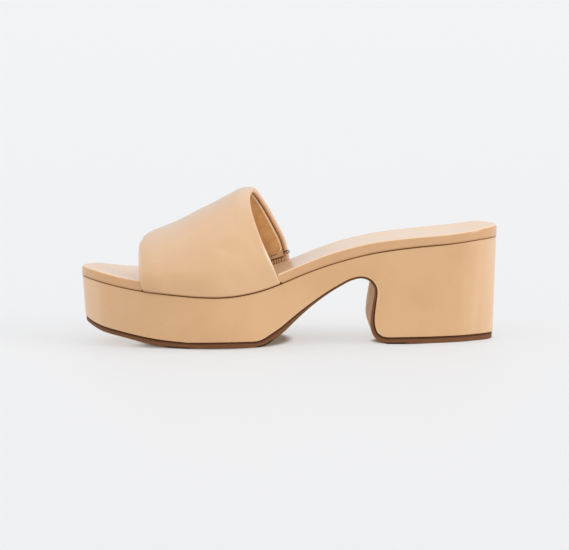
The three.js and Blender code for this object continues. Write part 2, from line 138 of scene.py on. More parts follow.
# Share of the strap's height, then its front edge medial and lateral and its back edge medial and lateral
strap_edge_rows = [
    (0, 0.852, 0.8145, 0.531, 0.493), (0.12, 0.8575, 0.8185, 0.5415, 0.494),
    (0.24, 0.8602, 0.822, 0.5526, 0.4985), (0.37, 0.862, 0.8252, 0.5658, 0.507),
    (0.5, 0.8628, 0.828, 0.5775, 0.5208), (0.65, 0.8628, 0.831, 0.589, 0.5377),
    (0.8, 0.8622, 0.8348, 0.5982, 0.5563), (0.9, 0.861, 0.8385, 0.6012, 0.5702),
    (0.96, 0.8575, 0.844, 0.5998, 0.58), (1, 0.851, 0.851, 0.5915, 0.5915)]
ridge_rows = [
    (0, -0.05), (0.03, 0), (0.08, 0.055), (0.21, 0.166), (0.32, 0.272), (0.43, 0.396), (0.53, 0.515),
    (0.65, 0.645), (0.75, 0.768), (0.85, 0.888), (0.92, 0.973), (0.96, 0.993), (1, 1)]
# Share of the length, and how much the lateral side lags behind the medial one there
skew_rows = [(0.03, 0), (0.22, 0.85), (0.34, 0.85), (0.5, 1), (0.7, 0.9), (0.86, 0.3), (0.98, 0)]
# The underside: share of its run, share of its rise, thickness of the outsole there
forepart_rows = [
    (0, 0, 1.17), (0.22, 0.06, 1.3), (0.4, 0.2, 1.1), (0.59, 0.37, 0.98), (0.77, 0.52, 0.98),
    (0.87, 0.66, 0.88), (0.95, 0.82, 0.72), (1, 0.95, 0.7), (1.06, 1.16, 0.7)]
arch_rows = [
    (1.05, 0, 1.13), (1, 0.003, 1.2), (0.939, 0.031, 1.28), (0.86, 0.118, 1.22), (0.778, 0.229, 1.04),
    (0.7, 0.356, 0.86), (0.641, 0.45, 0.73), (0.536, 0.605, 0.52), (0.397, 0.779, 0.39), (0.292, 0.889, 0.35),
    (0.204, 0.967, 0.34), (0.115, 1, 0.32), (0.045, 0.96, 0.36), (0.004, 0.86, 0.45), (0, 0.78, 0.52),
    (0.013, 0.642, 0.62), (0.0295, 0.44, 0.7), (0.033, 0.286, 0.82), (0.007, 0.13, 0.95),
    (-0.05, 0.032, 1.15)]
# Share of the length, and how dark the painted shade in the seam between footbed and platform is there
seam_dark_rows = [
    (0, 0.45), (0.1, 0.6), (0.14, 0.85), (0.18, 1), (0.26, 1), (0.34, 0.7), (0.46, 0.75), (0.54, 1),
    (0.64, 1), (0.74, 0.8), (0.86, 0.7), (1, 0.5)]
# Share of the length, and how much the platform's sides lean in towards the floor
lean_rows = [
    (0, 0.029), (0.045, 0.11), (0.075, 0.108), (0.14, 0.08), (0.19, 0.048), (0.24, 0.032),
    (0.665, 0.045), (1, 0.07)]

# %% Curves through the tables
def mix(a, b, share):
    return a + (b - a) * share


def ease(low, high, value):
    share = np.clip((value - low) / (high - low), 0, 1)
    return share * share * (3 - 2 * share)


def share_angle(share):
    """The round ends of the outline become even when the length is measured as an angle."""
    return np.arccos(1 - 2 * np.clip(share, 0, 1))


def curve_through(rows, column, across=np.asarray):
    """A smooth curve through one column of a table that adds no bumps of its own."""
    xs = across(np.array([row[0] for row in rows], float))
    ys = np.array([row[column] for row in rows], float)
    run = np.diff(xs)
    slopes = np.diff(ys) / run
    before, after = slopes[:-1], slopes[1:]
    same = before * after > 0
    inner = np.where(same, 2 * before * after / np.where(same, before + after, 1), 0)
    tangents = np.concatenate([slopes[:1], inner, slopes[-1:]])

    def curve(x):
        i = np.clip(np.searchsorted(xs, x, side="right") - 1, 0, len(xs) - 2)
        t = np.clip((x - xs[i]) / run[i], 0, 1)
        start = ys[i] * (2 * t**3 - 3 * t**2 + 1) + tangents[i] * run[i] * (t**3 - 2 * t**2 + t)
        return start + ys[i + 1] * (3 * t**2 - 2 * t**3) + tangents[i + 1] * run[i] * (t**3 - t**2)

    return curve


medial_share = curve_through(outline_rows, 1, share_angle)
lateral_share = curve_through(outline_rows, 2, share_angle)
heel_rise, toe_rise, edge_share = (curve_through(seam_rows, column) for column in (1, 2, 3))
front_medial, front_lateral, back_medial, back_lateral = (
    curve_through(strap_edge_rows, column) for column in (1, 2, 3, 4))
ridge_lift = curve_through(ridge_rows, 1)
skew_share = curve_through(skew_rows, 1)
lean_share = curve_through(lean_rows, 1)
seam_dark = curve_through(seam_dark_rows, 1)


def share_of(x):
    return (x + half_length) / sole_length


def x_at(share):
    return share * sole_length - half_length


def side_y(share, medial):
    width = mix(heel_width, ball_width, ease(0.2, 0.62, share))
    angle = share_angle(share)
    return width * np.where(medial, medial_share(angle), -lateral_share(angle))


def medial_seam(x):
    share = share_of(x)
    return ball_seam + heel_rise(share) * (heel_seam - ball_seam) + toe_rise(share) * (toe_seam - ball_seam)


def seam_height(x, y):
    """The seam's surface twists from its medial height to its lateral one across the width of the heel."""
    lateral = medial_seam(x + seam_skew * skew_share(share_of(x)))
    return mix(medial_seam(x), lateral, np.clip(0.5 - y / heel_width, 0, 1))


def footbed_top(x, y):
    return seam_height(x, y) + footbed_thickness * edge_share(share_of(x))


def height_over_seam(points):
    return points[:, 2] - seam_height(points[:, 0], points[:, 1])


ball_x = x_at(0.665)
ball_heights = [height(ball_x, 0) / mm for height in (seam_height, footbed_top)]
print("at the ball the seam and the footbed are {:.1f} and {:.1f} mm high".format(*ball_heights))

# %% [markdown]
# ## Modelling helpers
# Most pieces here are leather, which starts as a flat sheet and is laid over a form. Blender's grid is
# such a sheet: it is added flat, and its points are laid in space by a function of their place on it.
# A few small helpers keep the steps short: they deselect, lay a sheet, clean it and cut it.

# %% Select, edit and lay a sheet
def deselect():
    for other in bpy.context.view_layer.objects.selected[:]:
        other.select_set(False)


def take(piece):
    deselect()
    piece.select_set(True)
    bpy.context.view_layer.objects.active = piece
    return piece


def points_of(piece):
    points = np.zeros(len(piece.data.vertices) * 3)
    piece.data.vertices.foreach_get("co", points)
    return points.reshape(-1, 3)


def set_points(piece, points):
    piece.data.vertices.foreach_set("co", np.asarray(points, np.float32).ravel())
    piece.data.update()


def normals_of(piece):
    return np.array([vertex.normal[:] for vertex in piece.data.vertices])


def keep(piece, name, values):
    """Keeps a number with each point of a mesh, for its finish to read."""
    piece.data.attributes.new(name, "FLOAT", "POINT").data.foreach_set("value", values)


def named(name):
    piece = bpy.context.object
    piece.name = name
    piece.data.name = name
    return piece


def lay_sheet(name, across, along, place):
    """A flat grid of so many faces, whose points place(u, v) lays in space; u and v go from 0 to 1."""
    deselect()
    bpy.ops.mesh.primitive_grid_add(x_subdivisions=across, y_subdivisions=along, size=1)
    sheet = named(name)
    flat = points_of(sheet)
    set_points(sheet, np.stack(place(flat[:, 0] + 0.5, flat[:, 1] + 0.5), 1))
    return sheet


# %% Close, clean and cut
def open_ends(piece):
    """The open ends of a mesh, each as the list of its edges."""
    edges = np.array([edge.vertices[:] for edge in piece.data.edges])
    used = np.bincount([loop.edge_index for loop in piece.data.loops], minlength=len(edges))
    rim = {int(e): set(edges[e]) for e in np.flatnonzero(used == 1)}
    beside = {}
    for e, ends in rim.items():
        for vertex in ends:
            beside.setdefault(vertex, []).append(e)
    ends = []
    while rim:
        found, front = [], [next(iter(rim))]
        while front:
            e = front.pop()
            if e in rim:
                found.append(e)
                front += [n for vertex in rim.pop(e) for n in beside[vertex]]
        ends.append(found)
    return ends


def close_and_clean(piece, fill=True):
    """Merges the points that meet, closes the open ends one by one and turns all faces outwards."""
    take(piece)
    bpy.ops.object.mode_set(mode="EDIT")
    bpy.ops.mesh.select_mode(type="EDGE")
    bpy.ops.mesh.select_all(action="SELECT")
    bpy.ops.mesh.remove_doubles(threshold=1e-6)
    bpy.ops.object.mode_set(mode="OBJECT")
    for end in open_ends(piece) if fill else []:
        bpy.ops.object.mode_set(mode="EDIT")
        bpy.ops.mesh.select_all(action="DESELECT")
        bpy.ops.object.mode_set(mode="OBJECT")
        for e in end:
            piece.data.edges[e].select = True
        bpy.ops.object.mode_set(mode="EDIT")
        bpy.ops.mesh.fill(use_beauty=True)
        bpy.ops.object.mode_set(mode="OBJECT")
    bpy.ops.object.mode_set(mode="EDIT")
    bpy.ops.mesh.select_all(action="SELECT")
    bpy.ops.mesh.normals_make_consistent(inside=False)
    bpy.ops.object.mode_set(mode="OBJECT")
    return piece


def apply_modifier(piece, kind, **settings):
    take(piece)
    modifier = piece.modifiers.new(kind.title(), kind)
    for key, value in settings.items():
        setattr(modifier, key, value)
    bpy.ops.object.modifier_apply(modifier=modifier.name)
    return piece


def cut(piece, tool, operation="DIFFERENCE"):
    """Cuts the piece with a tool, which is then thrown away."""
    apply_modifier(piece, "BOOLEAN", object=tool, operation=operation, solver="MANIFOLD")
    bpy.data.objects.remove(tool)
    return piece


def smooth(piece, degrees=35):
    take(piece)
    bpy.ops.object.shade_smooth_by_angle(angle=math.radians(degrees))
    return piece


def tell(piece):
    size = [piece.dimensions[i] / mm for i in range(3)]
    faces = sum(len(p.vertices) - 2 for p in piece.data.polygons)
    print(f"{piece.name}: {faces} triangles, {size[0]:.1f} x {size[1]:.1f} x {size[2]:.1f} mm")
    return piece


# %% [markdown]
# ## The form of the strap
# The strap stands on the platform at both sides and arches over the instep. Its form is described by two
# numbers: the depth from its front edge to its back edge, and the girth from the medial base over the
# instep to the lateral base. Its edges are rolled, so the wall thins towards them and ends in round noses.

# %% Middle of the strap's wall
def strap_middle(depth, girth):
    angle = np.pi * girth
    cosine = np.cos(angle)
    power = 2 / arch_power
    out = np.sign(cosine) * np.abs(cosine) ** power
    up = np.clip(np.sin(angle), 0, None) ** power
    medial = cosine > 0
    half = strap_base_wall / 2

    def edge_x(height):
        front = np.where(medial, front_medial(height), front_lateral(height))
        back = np.where(medial, back_medial(height), back_lateral(height))
        return mix(x_at(front) - half, x_at(back) + half, depth)

    base_x = edge_x(np.zeros_like(up))
    base_y = side_y(share_of(base_x), medial)
    base_z = seam_height(base_x, base_y) + clearance
    ridge_z = mix(ridge_front, ridge_back, ridge_lift(depth)) - strap_wall / 2
    bulge = side_bulge * np.sin(np.pi * np.minimum(1, up / 0.6)) ** 2
    half_width = np.abs(base_y) - half
    y = out * (half_width + bulge) + instep_lean * up * up
    return np.stack([edge_x(up), y, mix(base_z, ridge_z, up)], -1)


def unit(vectors):
    return vectors / np.linalg.norm(vectors, axis=-1, keepdims=True)


def strap_directions(depth, girth):
    """Two directions at each place: square to the wall, outwards, and towards the back edge."""
    step = 1e-3
    around = unit(strap_middle(depth, np.minimum(1, girth + step))
                  - strap_middle(depth, np.maximum(0, girth - step)))
    backwards = unit(strap_middle(np.minimum(1, depth + step), girth)
                     - strap_middle(np.maximum(0, depth - step), girth))
    outwards = unit(np.cross(backwards, around))
    return outwards, unit(np.cross(around, outwards))


# The share of the wall that is left at the rolled edges, and a round number for the strap's depth in mm
edge_slimness = 0.66
rough_depth = 72


def strap_half_wall(girth):
    return mix(strap_base_wall, strap_wall, ease(0, 0.3, np.sin(np.pi * girth))) / 2


def strap_width(girth):
    """Distance from the front edge to the back edge at this girth."""
    zero = np.zeros_like(girth)
    return np.linalg.norm(strap_middle(zero + 1, girth) - strap_middle(zero, girth), axis=-1)


def strap_point(depth, girth, turn=0.0, lift=0.0, edge=1):
    """A place on the wall: turn is 0 outside and a half circle inside, lift adds to the wall there.
    The wall thins towards the rolled edges, where its outer face and its outline stay in place."""
    outwards, past = strap_directions(depth, girth)
    from_edge = np.minimum(depth, 1 - depth) * rough_depth * mm
    full = strap_half_wall(girth)
    half = full * mix(edge_slimness, 1, ease(0, 8 * mm, from_edge))
    turned = np.cos(turn)[:, None] * outwards + (edge * np.sin(turn))[:, None] * past
    nudge = (full - half) * np.clip(1 - from_edge / (5 * mm), 0, 1) ** 2 * np.where(depth < 0.5, -1, 1)
    centre = strap_middle(depth, girth) + (full - half)[:, None] * outwards + nudge[:, None] * past
    return centre + (half + lift)[:, None] * turned


middle_girth = np.array([0.5])
print(f"strap {strap_width(middle_girth)[0] / mm:.1f} mm deep over the instep")

# %% [markdown]
# ## Strap
# The strap is a tube of leather pressed flat around a foam pad. A flat sheet is rolled round the wall:
# across the sheet goes round the section, and along it goes over the foot. Cloth simulation would need a
# remesh that is coarser than this 4 mm wall, so the padding is modelled: the faces swell a little, soft
# troughs and ridges lie where the leather is pulled down to the seam, and it is tucked in at the base.

# %% Soft troughs and ridges, placed one by one
# Each starts and ends at a depth and a girth, then has its width and its lift in millimetres
strap_folds = [
    ((0.90, 0.030), (0.72, 0.16), 5.0, -0.30), ((0.97, 0.040), (0.84, 0.20), 4.5, 0.26),
    ((0.78, 0.022), (0.55, 0.11), 6.0, -0.22), ((0.62, 0.020), (0.38, 0.09), 7.0, 0.20),
    ((0.36, 0.020), (0.16, 0.10), 6.0, -0.20), ((0.12, 0.030), (0.10, 0.16), 5.0, 0.22),
    ((0.30, 0.28), (0.62, 0.34), 9.0, 0.30), ((0.50, 0.22), (0.86, 0.27), 8.0, -0.22),
    ((0.10, 0.970), (0.20, 0.86), 6.0, -0.25), ((0.34, 0.975), (0.50, 0.88), 7.0, 0.22),
    ((0.60, 0.975), (0.74, 0.84), 6.0, -0.26), ((0.88, 0.965), (0.90, 0.82), 5.0, 0.24),
    ((0.30, 0.72), (0.66, 0.66), 9.0, 0.28)]


def strap_relief(depth, girth):
    """How far the outer face stands out from the plain form: a slight swelling and the folds."""
    width, length = rough_depth, 205.0
    relief = np.zeros_like(depth)
    for start, end, spread, lift in strap_folds:
        a = np.array([start[0] * width, start[1] * length])
        b = np.array([end[0] * width, end[1] * length])
        place = np.stack([depth * width, girth * length], -1) - a
        share = np.clip(place @ (b - a) / np.dot(b - a, b - a), 0, 1)
        away = np.linalg.norm(place - share[:, None] * (b - a), axis=-1)
        relief += lift * np.exp(-(away / spread) ** 2)
    relief += 0.15 * np.sin(np.pi * np.clip(depth, 0, 1)) ** 0.7
    from_edge = np.minimum(depth, 1 - depth) * width
    relief *= ease(0, 6, from_edge)
    return relief * mm * ease(0, 0.05, np.sin(np.pi * girth))


def base_swelling(up, turn):
    """The foam bulges over the seam, on the outer side and half as much on the rolled edges."""
    return 0.75 * mm * np.exp(-(np.clip(up, 0, None) / (7 * mm)) ** 2) * np.clip(np.cos(turn) + 0.35, 0, 1)


print(f"{len(strap_folds)} folds, up to {max(abs(f[3]) for f in strap_folds)} mm high")

# %% The loop round the wall
def wall_loop(outer, nose, inner_places):
    """Depth, turn and edge of each step round the wall, from the middle of the front nose and back to it."""
    rows = [(0, np.pi / 2 * (1 - i / (nose / 2)), -1) for i in range(nose // 2)]
    rows += [(i / outer, 0, 1) for i in range(outer)]
    rows += [(1, np.pi * i / nose, 1) for i in range(nose)]
    rows += [(1 - place, np.pi, 1) for place in inner_places]
    rows += [(0, np.pi - np.pi / 2 * i / (nose / 2), -1) for i in range(nose // 2)]
    return np.array(rows, float)


# The steps lie close together at the rolled edges, where the stitched groove is pressed in
base_rows = 0.05
near_edge = np.array([0, 0.3, 0.6, 0.8, 0.92, 1.02, 1.12, 1.22, 1.34, 1.5, 1.8, 2.4, 3.4, 5]) / rough_depth
inner_places = np.concatenate([near_edge, np.linspace(0.1, 0.9, 25), 1 - near_edge[:0:-1]])
strap_loop = wall_loop(outer=72, nose=16, inner_places=inner_places)
groove_place, groove_spread, groove_end = 1.1 * mm, 0.34 * mm, 10 * mm
print("steps round the wall:", len(strap_loop))


# %% The sheet round the wall
def girth_of(v):
    """The rows of the sheet lie closer together near the two bases, where the leather is tucked in."""
    return np.interp(v, [0, base_rows, 1 - base_rows, 1], [0, 0.010, 0.990, 1])


def place_strap(u, v, grow=0.0):
    rows = strap_loop[np.rint(u * len(strap_loop)).astype(int) % len(strap_loop)]
    depth, turn, edge = rows.T
    girth = girth_of(v)
    centre = strap_middle(depth, girth)
    up = np.abs(height_over_seam(centre))
    lift = grow + base_swelling(up, turn)
    if grow == 0:
        outside = turn == 0
        lift += np.where(outside, strap_relief(depth, girth), 0)
        from_back = (1 - depth) * strap_width(girth)
        from_front = depth * strap_width(girth)
        groove = np.exp(-((from_back - groove_place) / groove_spread) ** 2)
        groove += np.exp(-((from_front - groove_place) / groove_spread) ** 2)
        groove *= ease(groove_end - 1 * mm, groove_end + 1 * mm, up)
        lift -= np.where(turn == np.pi, 0.8 * mm * groove, 0)
        tuck = np.clip(1 - up / (1.7 * mm), 0, 1)
        lift -= np.where(turn <= np.pi / 2, 1.4 * mm * (1 - np.sqrt(1 - tuck**2)), 0)
    points = strap_point(depth, girth, turn, lift, edge)
    ends = (v < 1e-6) | (v > 1 - 1e-6)
    points[ends, 2] = seam_height(points[ends, 0], points[ends, 1]) + clearance
    return points.T


strap = close_and_clean(lay_sheet("strap", len(strap_loop), 200, place_strap))
smooth(strap, 60)
tell(strap)

# %% [markdown]
# ## Marks for the finish
# Leather is darker where light hardly reaches, and that shade is painted into its colour here. A painted
# sheen makes it paler where it faces up and round the rolled edges, and the near back edge is glossier and
# carries a painted highlight. Such places follow the form, so they are worked out once from the mesh and
# kept with its points as numbers that the finish reads later: painted shade, painted sheen, and gloss with a
# painted highlight.

# %% Painted shade of the strap
def mark_painted_shade(piece, dark):
    """Keeps a share of painted shade with each point of a mesh."""
    keep(piece, "crease", np.clip(dark, 0, 1))


def strap_painted_shade(points):
    """Painted shade near the base, where the strap goes down between footbed and platform, and a faint
    painted shade over its lower part.
    """
    up = np.clip(height_over_seam(points) - clearance, 0, None)
    dark = 0.95 * seam_dark(share_of(points[:, 0]))
    return dark * np.exp(-(up / (0.6 * mm)) ** 2) + 0.07 * np.exp(-(up / (13 * mm)) ** 2)


def near_edges(points, inset, turn, sunk, reach):
    """How near the points lie to a line along both edges of the strap, as a share that fades with reach."""
    share = np.zeros(len(points))
    girth = np.linspace(0.003, 0.997, 400)
    for depth, edge in ((inset / strap_width(girth), -1), (1 - inset / strap_width(girth), 1)):
        line = strap_point(depth, girth, np.full_like(girth, turn), np.full_like(girth, -sunk), edge)
        for part in np.array_split(np.arange(len(points)), 60):
            away = np.linalg.norm(points[part, None] - line, axis=-1).min(1)
            share[part] = np.maximum(share[part], np.exp(-(away / reach) ** 2))
    return share


def groove_painted_shade(points):
    """Painted shade in the groove along both inner edges, down to the hem."""
    dark = near_edges(points, groove_place, np.pi, 0.8 * mm, 0.42 * mm)
    return dark * ease(groove_end - 1 * mm, groove_end + 1 * mm, height_over_seam(points))


# %% Painted sheen, painted highlight and gloss of the strap
strap_points = points_of(strap)
# Painted sheen on the inner rolled edges and where the strap faces up; a painted highlight on the near back
# edge, where the coat is glossier too
inner_roll = near_edges(strap_points, 0, 2.6, 0, 1.1 * mm)
polish = near_edges(strap_points, 0, 0.35, 0, 1.0 * mm)
polish *= 0.15 + 0.85 * np.exp(-((height_over_seam(strap_points) - 19 * mm) / (8 * mm)) ** 2)
faces_up = ease(0.15, 1.25, normals_of(strap)[:, 2])
keep(strap, "crown", np.maximum(faces_up, np.maximum(inner_roll, polish)))
keep(strap, "polish", polish)
# Painted shade at the strap's base and in its groove
mark_painted_shade(strap, strap_painted_shade(strap_points) + 0.85 * groove_painted_shade(strap_points))
print("crease, crown and polish marked on", len(strap_points), "points of the strap")

# %% [markdown]
# ## Footbed
# The footbed is a thin board with a foam top, wrapped in one skin of leather: its edge band is flat, the
# rim is softly rounded and the top dips towards the middle, most of all at the heel. A sheet is laid in
# rings up the band, over the rim and in to the middle, and a grown copy of the strap cuts its two seats.

# %% The outline seen from above
def outline_point(turn):
    """A place on the outline: turn goes from 0 at the heel along the medial side to 0.5 at the toe."""
    share = (1 - np.cos(2 * np.pi * turn)) / 2
    return np.stack([x_at(share), side_y(share, turn <= 0.5)], -1)


def inset_point(turn, distance):
    """The same place moved in from the outline, square to it."""
    step = 1 / 240
    along = unit(outline_point((turn + step) % 1) - outline_point((turn - step) % 1))
    inward = np.stack([along[:, 1], -along[:, 0]], -1)
    return outline_point(turn) + inward * np.asarray(distance)[..., None]


widest = outline_point(np.linspace(0, 1, 400))[:, 1]
print(f"outline from {widest.min() / mm:.1f} to {widest.max() / mm:.1f} mm across")

# %% Rings of the footbed
footbed_steps = 300
footbed_rings = (
    [("wall", 1.2, 0.0)] + [("low", 0.5, a) for a in (0, 30, 60)]
    + [("wall", 0.0, s) for s in (0.2, 0.45, 0.7)]
    + [("rim", rim_radius / mm, a) for a in range(0, 100, 10)]
    + [("top", 0.0, s) for s in np.linspace(0.97, 0.06, 26)])


def place_footbed(u, v):
    turn = u % 1
    x0, y0 = outline_point(turn).T
    low = seam_height(x0, y0) + clearance
    high = footbed_top(x0, y0)
    x, y, z = np.zeros_like(u), np.zeros_like(u), np.zeros_like(u)
    row = np.rint(v * (len(footbed_rings) - 1)).astype(int)
    for i, (kind, size, value) in enumerate(footbed_rings):
        at = row == i
        t = turn[at]
        if kind == "wall":
            x[at], y[at] = inset_point(t, np.full(len(t), size * mm)).T
            z[at] = mix(low[at], high[at], value)
        elif kind == "low":
            angle = math.radians(value)
            x[at], y[at] = inset_point(t, np.full(len(t), size * mm * (1 - math.sin(angle)))).T
            z[at] = low[at] + size * mm * (1 - math.cos(angle))
        elif kind == "rim":
            angle = math.radians(value)
            x[at], y[at] = inset_point(t, np.full(len(t), size * mm * (1 - math.cos(angle)))).T
            z[at] = high[at] - size * mm * (1 - math.sin(angle))
        else:
            edge = inset_point(t, np.full(len(t), rim_radius))
            share = share_of(edge[:, 0])
            dip = (1 - value * value) * 1.4 * mm * mix(1, 0.4, ease(0.25, 0.5, share))
            x[at] = edge[:, 0] * mix(value, 1, 0.85)
            centre = (side_y(share, True) + side_y(share, False)) / 2
            new_share = share_of(x[at])
            new_centre = (side_y(new_share, True) + side_y(new_share, False)) / 2
            y[at] = new_centre + (edge[:, 1] - centre) * value
            z[at] = footbed_top(x[at], y[at]) - dip
    return x, y, z


footbed = lay_sheet("footbed_cover", footbed_steps, len(footbed_rings) - 1, place_footbed)
close_and_clean(footbed)
print(f"footbed laid in {len(footbed_rings)} rings of {footbed_steps} points")

# %% The strap's two seats
def place_strap_cutter(u, v):
    x, y, z = place_strap(u, np.clip(v * 1.04 - 0.02, 0, 1), grow=0.14 * mm)
    lowered = (v < 0.005) | (v > 0.995)
    return x, y, np.where(lowered, z - 4 * mm, z)


seat_cutter = close_and_clean(lay_sheet("seat_cutter", len(strap_loop), 200, place_strap_cutter))
cut(footbed, seat_cutter)
smooth(footbed, 40)
tell(footbed)


# %% Marks of the footbed
def seam_painted_shade(points, away):
    """Painted shade within a third of a millimetre of the seam, more or less so along the sandal."""
    return 0.9 * seam_dark(share_of(points[:, 0])) * np.exp(-(np.clip(away, 0, None) / (0.3 * mm)) ** 2)


footbed_points, footbed_up = points_of(footbed), normals_of(footbed)[:, 2]
# Painted sheen: the footbed's top is paler where it faces up
keep(footbed, "crown", ease(0.45, 0.8, footbed_up))
footbed_x = footbed_points[:, 0]
# Painted light: under the strap, where the lamps hardly reach, the top is painted paler
under_strap = ease(-6 * mm, 12 * mm, footbed_x) * (1 - ease(66 * mm, 84 * mm, footbed_x))
keep(footbed, "shaded", under_strap * ease(0.6, 0.9, footbed_up))
# Painted shade along the seam
mark_painted_shade(footbed, seam_painted_shade(footbed_points, height_over_seam(footbed_points) - clearance))
print("points of the footbed under the strap:", int((under_strap > 0.5).sum()))

# %% [markdown]
# ## Platform and outsole
# The platform and its heel are one block covered in leather: its sides lean in a little towards the floor
# and its top edge is soft. A leaning block is made in rings and then cut along the underside, which is
# drawn once in side view: toe spring, flat under the ball, waist, arch, heel breast and heel.

# %% The underside in side view
def smooth_path(rows, steps):
    """A smooth path through points, even where they lie close together."""
    points = np.vstack([2 * rows[0] - rows[1], rows, 2 * rows[-1] - rows[-2]])
    path = []
    for p0, p1, p2, p3 in zip(points, points[1:], points[2:], points[3:]):
        d0, d1, d2 = (np.linalg.norm(b - a) ** 0.5 for a, b in ((p0, p1), (p1, p2), (p2, p3)))
        m1 = ((p1 - p0) / d0 - (p2 - p0) / (d0 + d1) + (p2 - p1) / d1) * d1
        m2 = ((p2 - p1) / d1 - (p3 - p1) / (d1 + d2) + (p3 - p2) / d2) * d1
        for t in np.arange(steps) / steps:
            path.append(p1 * (2 * t**3 - 3 * t**2 + 1) + m1 * (t**3 - 2 * t**2 + t)
                        + p2 * (3 * t**2 - 2 * t**3) + m2 * (t**3 - t**2))
    return np.array(path + [rows[-1]])


breast_x = 75.5 * mm - half_length
ball_front, ball_back = ball_x + 21 * mm, ball_x - 21 * mm


def stretch(rows, start, end, height):
    laid = [(mix(start, end, row[0]), row[1] * height, row[2] * outsole_thickness) for row in rows]
    return smooth_path(np.array(laid), 6)


heel_thickness = 1.28 * outsole_thickness
underside = np.vstack([
    stretch(forepart_rows, ball_front, half_length, toe_spring)[::-1],
    stretch(arch_rows, breast_x, ball_back, arch_height),
    [(breast_x - 8 * mm, 0, heel_thickness), (-half_length - 6.5 * mm, 0, heel_thickness)]])


def raised(extra):
    """The underside moved up into the sandal, square to itself, past the outsole."""
    along = unit(np.gradient(underside[:, :2], axis=0))
    distance = (underside[:, 2] + extra)[:, None]
    return underside[:, :2] + np.stack([along[:, 1], -along[:, 0]], -1) * distance


print(f"underside of {len(underside)} points, {underside[:, 1].max() / mm:.1f} mm high in the arch")

# %% Blocks in side view and in plan
def side_block(name, profile):
    """A side view outline extruded across the sandal; its lateral side lies a little further back."""
    deselect()
    bpy.ops.mesh.primitive_circle_add(vertices=len(profile), fill_type="NGON", radius=1)
    block = named(name)
    set_points(block, np.stack([profile[:, 0], np.full(len(profile), -0.07), profile[:, 1]], 1))
    bpy.ops.object.mode_set(mode="EDIT")
    bpy.ops.mesh.select_all(action="SELECT")
    bpy.ops.mesh.extrude_region_move(TRANSFORM_OT_translate={"value": (0, 0.14, 0)})
    bpy.ops.mesh.select_all(action="SELECT")
    bpy.ops.mesh.normals_make_consistent(inside=False)
    bpy.ops.object.mode_set(mode="OBJECT")
    points = points_of(block)
    points[:, 0] += sideways_lag * (points[:, 1] - heel_width / 2)
    set_points(block, points)
    return block


def leaning_block(name, setback, steps, floor, corner):
    """Rings of the outline from the floor up to the seam, where the edge is rounded by corner."""
    walls = np.linspace(0, 1, 24)
    corners = np.radians(np.arange(15, 91, 15)) if corner else []
    count = len(walls) + len(corners)

    def place(u, v):
        turn = u % 1
        x0, y0 = outline_point(turn).T
        row = np.rint(v * (count - 1)).astype(int)
        top = seam_height(x0, y0)
        z = mix(floor, top - corner, walls[np.minimum(row, len(walls) - 1)])
        distance = setback + lean_share(share_of(x0)) * (top - z)
        for i, angle in enumerate(corners):
            at = row == len(walls) + i
            distance[at] += corner * (1 - math.cos(angle))
            z[at] = top[at] - corner * (1 - math.sin(angle))
        x, y = inset_point(turn, distance).T
        return x, y, z

    return close_and_clean(lay_sheet(name, steps, count - 1, place))


# %% Platform
platform = leaning_block("platform_cover", footbed_overhang, 320, -5 * mm, 0.6 * mm)
below = np.array([(-half_length - 0.02, -0.02), (half_length + 0.02, -0.02)])
cut(platform, side_block("underside_cutter", np.vstack([raised(clearance), below])))
smooth(platform, 35)
platform_points = points_of(platform)
# Painted shade along the seam, and a paler painted sheen on the toe and the heel's back
mark_painted_shade(platform, seam_painted_shade(platform_points, -height_over_seam(platform_points)))
keep(platform, "crown", 0.36 * ease(0.15, 1.1, np.abs(normals_of(platform)[:, 0])))
tell(platform)

# %% Outsole
outsole = leaning_block("outsole_rubber", footbed_overhang + 0.4 * mm, 320, -5 * mm, 0)
band = side_block("outsole_band", np.vstack([underside[:, :2], raised(0)[::-1]]))
cut(outsole, band, "INTERSECT")
smooth(outsole, 35)
tell(outsole)

# %% [markdown]
# ## Seam
# Between footbed and platform the real sandal shows a fine dark line, where the two wrapped edges meet
# and light can't reach. The edges here are rounded as well, and a thin brown strip of painted shade fills
# the joint behind them, so that the line stays dark in any light. A table says how dark the line is along the
# sandal.

# %% Strip of painted shade in the seam
def place_seam(u, v):
    turn = u % 1
    x0, y0 = outline_point(turn).T
    row = np.rint(v * 4).astype(int)
    inset = np.array([0.62, 2.0, 2.0, 0.62, 0.62])[row] * mm
    height = np.array([-0.35, -0.35, 0.5, 0.5, -0.35])[row] * mm
    x, y = inset_point(turn, footbed_overhang + inset).T
    return x, y, seam_height(x0, y0) + height


seam_strip = close_and_clean(lay_sheet("seam_strip", 300, 4, place_seam), fill=False)
smooth(seam_strip)
# Painted shade, darker where the table says
mark_painted_shade(seam_strip, seam_dark(share_of(points_of(seam_strip)[:, 0])) ** 2)
tell(seam_strip)

# %% [markdown]
# ## Lining
# Inside, the strap has a thin leather lining. It stops short of the rolled edges, behind a stitched
# groove, and its raw edge shows as a light line. At both bases the lining ends in a stitched hem, and
# under the hem the leather is gathered in small pleats down to the footbed. Where the strap's four base
# corners go down, a small dark gap is left, which a dark bead of painted shadow shows from outside. Shade
# is also painted on the lining high under the instep, along the hems' lower edges and in the pleats' valleys.

# %% Places on the inner face
def inner_point(depth, girth, lift):
    return strap_point(depth, girth, np.full_like(depth, np.pi), lift)


def girth_at(depth, height, medial):
    """The girth where the wall is so high above the seam, on the medial or the lateral side."""
    side = np.full_like(depth, 0.001 if medial else 0.999)
    base = strap_middle(depth, side)[:, 2]
    ridge = strap_middle(depth, np.full_like(depth, 0.5))[:, 2]
    up = np.clip((height - clearance) / (ridge - base), 0, 1)
    girth = np.arcsin(up ** (arch_power / 2)) / np.pi
    return girth if medial else 1 - girth


def depth_inside(share, girth, gap):
    """Shares the depth between places that lie gap away from both edges."""
    inset = gap / strap_width(girth)
    return mix(inset, 1 - inset, share)


